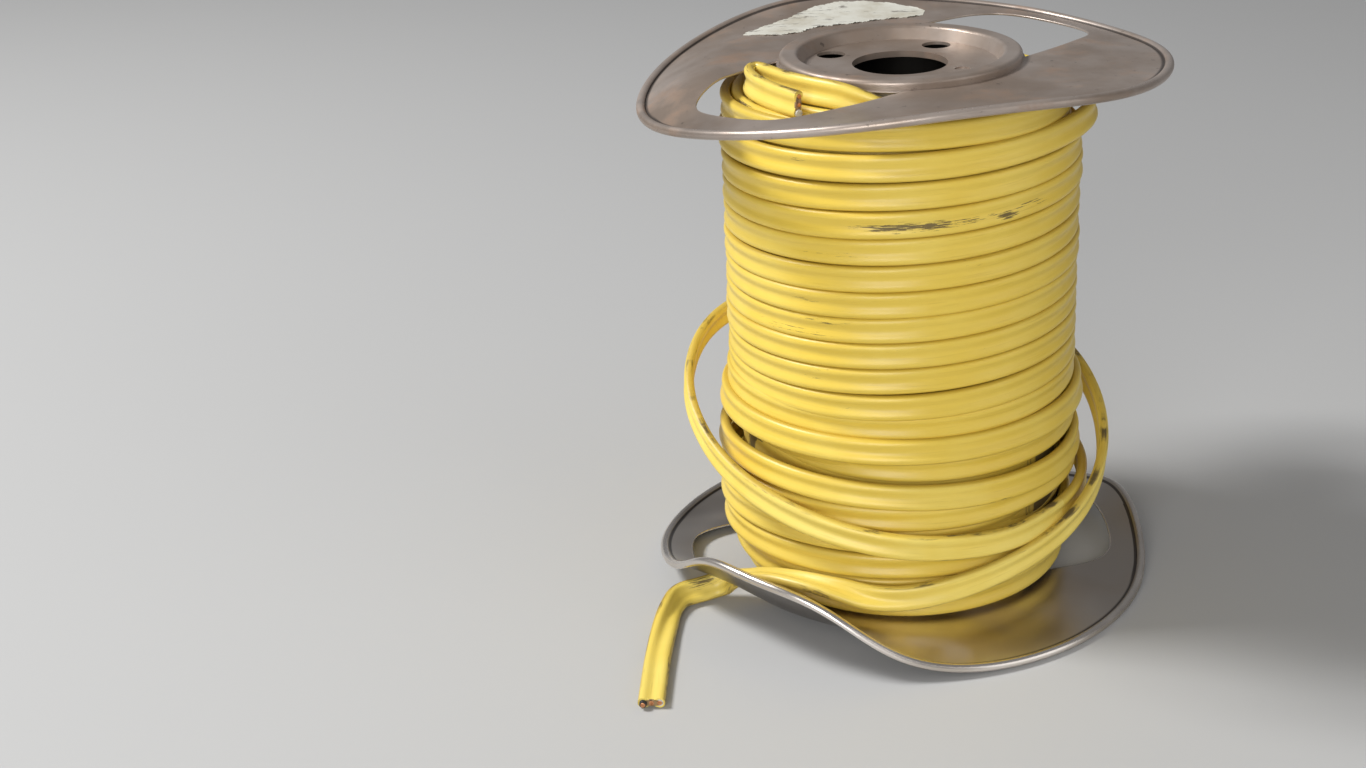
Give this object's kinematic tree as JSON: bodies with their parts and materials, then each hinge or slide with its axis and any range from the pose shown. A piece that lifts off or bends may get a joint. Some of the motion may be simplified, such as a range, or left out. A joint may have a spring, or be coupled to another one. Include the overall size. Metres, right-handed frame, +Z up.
{
  "type": "steel cable reel",
  "caption": "Bent sheet-steel reel of yellow flat building cable, with a loose turn and its cut end on the ground.",
  "frame": {"origin": "on the reel's axis, at the level of the ground under the bottom hub cap's rolled lip", "axes": "+Z up along both arbor holes; -Y towards the side that shows the loose turn; -X towards the cable's cut end"},
  "size_m": [0.2117, 0.2148, 0.2217],
  "materials": {
    "patinated_steel": "dull, brown with age, scuffed",
    "tinplate": "bright",
    "cable_jacket": "soft sheen, scuffed"
  },
  "bodies": {
    "root": {"barrel": "tinplate", "top_flange": "patinated_steel", "bottom_flange": "patinated_steel", "top_hub_cap": "patinated_steel", "bottom_hub_cap": "patinated_steel", "cable_winding": "cable_jacket", "cable_start": "cable_jacket", "loose_cable": "cable_jacket"}
  },
  "joints": []
}
